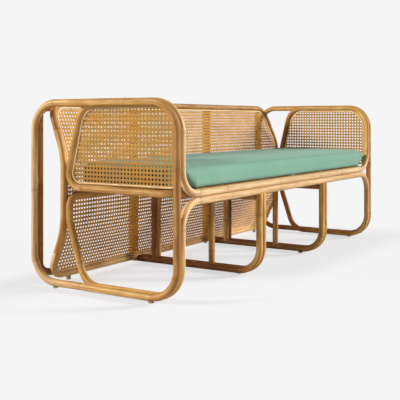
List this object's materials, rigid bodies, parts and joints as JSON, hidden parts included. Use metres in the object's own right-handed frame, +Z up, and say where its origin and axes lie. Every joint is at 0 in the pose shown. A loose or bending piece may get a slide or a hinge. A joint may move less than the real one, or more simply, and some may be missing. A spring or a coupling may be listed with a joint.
{
  "type": "rattan garden sofa",
  "caption": "Long garden sofa of bent rattan poles with rounded end loops, woven cane arms and back drawn in at the waist, and one loose box cushion.",
  "frame": {"origin": "on the floor under the middle of the sofa's outline", "axes": "+X along the length towards the right end as seen from the front, -Y towards the front, +Z up"},
  "size_m": [1.89, 0.71, 0.73],
  "materials": {
    "rattan": "clear varnished rattan pole, semi-gloss",
    "trim": "thin rattan rod, satin",
    "cane": "woven cane webbing, matt",
    "slat": "planed wood, matt",
    "cushion_fabric": "plain woven outdoor fabric, matt",
    "foam": "cushion foam, matt",
    "glide": "moulded plastic, matt"
  },
  "bodies": {
    "root": {"back_bottom_rail": "rattan", "back_lower_cane": "cane", "back_lower_trim": "trim", "back_top_rail": "rattan", "back_upper_cane": "cane", "back_upper_trim": "trim", "cushion_cover": "cushion_fabric", "cushion_foam": "foam", "front_apron_rail": "rattan", "front_seat_rail": "rattan", "inner_front_rail": "rattan", "left_arm_bow": "rattan", "left_arm_cane": "cane", "left_arm_trim": "trim", "left_back_glide": "glide", "left_back_inner_upright": "rattan", "left_back_outer_upright": "rattan", "left_back_side_pole": "rattan", "left_cross_rail": "rattan", "left_end_loop": "rattan", "left_leg_bow": "rattan", "left_loop_front_glide": "glide", "left_loop_rear_glide": "glide", "left_mid_post": "rattan", "left_middle_front_glide": "glide", "left_middle_inner_pole": "rattan", "left_middle_outer_pole": "rattan", "left_middle_rear_glide": "glide", "left_rear_post": "rattan", "left_side_rail": "rattan", "left_waist_inner_post": "rattan", "left_waist_outer_post": "rattan", "rear_apron_rail": "rattan", "rear_seat_rail": "rattan", "right_arm_bow": "rattan", "right_arm_cane": "cane", "right_arm_trim": "trim", "right_back_glide": "glide", "right_back_inner_upright": "rattan", "right_back_outer_upright": "rattan", "right_back_side_pole": "rattan", "right_cross_rail": "rattan", "right_end_loop": "rattan", "right_leg_bow": "rattan", "right_loop_front_glide": "glide", "right_loop_rear_glide": "glide", "right_mid_post": "rattan", "right_middle_front_glide": "glide", "right_middle_inner_pole": "rattan", "right_middle_outer_pole": "rattan", "right_middle_rear_glide": "glide", "right_rear_post": "rattan", "right_side_rail": "rattan", "right_waist_inner_post": "rattan", "right_waist_outer_post": "rattan", "seat_slat_1": "slat", "seat_slat_2": "slat", "seat_slat_3": "slat", "seat_slat_4": "slat", "seat_slat_5": "slat"}
  },
  "joints": []
}
